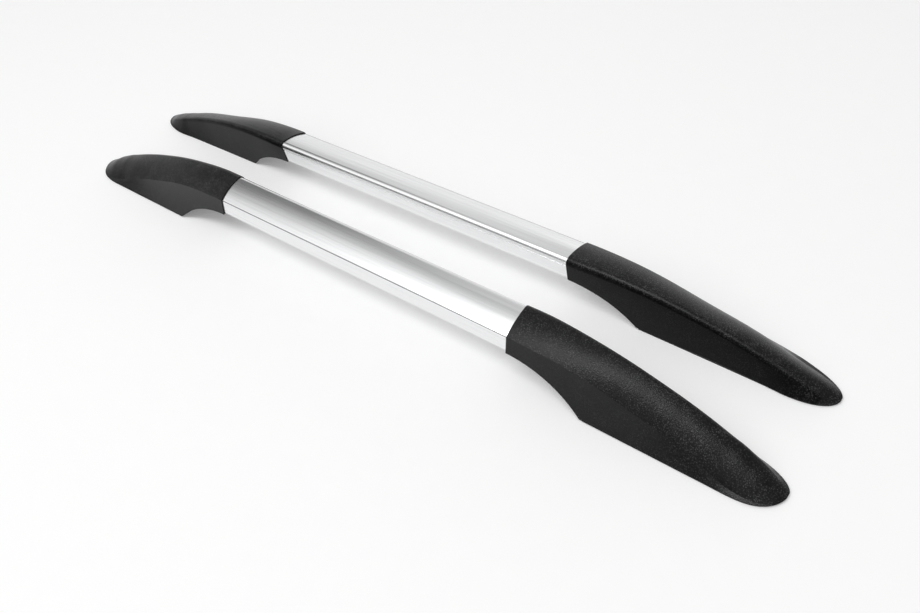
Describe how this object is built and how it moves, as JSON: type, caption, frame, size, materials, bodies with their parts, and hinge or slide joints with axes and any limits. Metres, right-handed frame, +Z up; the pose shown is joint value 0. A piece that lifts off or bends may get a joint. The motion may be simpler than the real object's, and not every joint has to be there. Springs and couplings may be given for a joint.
{
  "type": "roof side rail pair",
  "caption": "Pair of raised roof side rails: a satin aluminium bar with a sloping crown between black grained plastic end caps that arch down to long feet.",
  "frame": {"origin": "on the floor under the middle of the pair", "axes": "+X along the rails to the front, +Y to the left rail, +Z up"},
  "size_m": [1.1174, 0.2032, 0.073],
  "materials": {
    "bar_alloy": "satin anodised",
    "cap_plastic": "fine grain",
    "foot_casting": "as cast",
    "pad_rubber": "matt",
    "fastener_steel": "zinc plated"
  },
  "bodies": {
    "root": {"rail_right": "bar_alloy", "rail_left": "bar_alloy", "cap_right_front": "cap_plastic", "bracket_right_front": "foot_casting", "gasket_right_front": "pad_rubber", "flange_screws_right_front": "fastener_steel", "cap_screws_right_front": "fastener_steel", "nuts_right_front": "fastener_steel", "cap_right_rear": "cap_plastic", "bracket_right_rear": "foot_casting", "gasket_right_rear": "pad_rubber", "flange_screws_right_rear": "fastener_steel", "cap_screws_right_rear": "fastener_steel", "nuts_right_rear": "fastener_steel", "cap_left_front": "cap_plastic", "bracket_left_front": "foot_casting", "gasket_left_front": "pad_rubber", "flange_screws_left_front": "fastener_steel", "cap_screws_left_front": "fastener_steel", "nuts_left_front": "fastener_steel", "cap_left_rear": "cap_plastic", "bracket_left_rear": "foot_casting", "gasket_left_rear": "pad_rubber", "flange_screws_left_rear": "fastener_steel", "cap_screws_left_rear": "fastener_steel", "nuts_left_rear": "fastener_steel"}
  },
  "joints": []
}
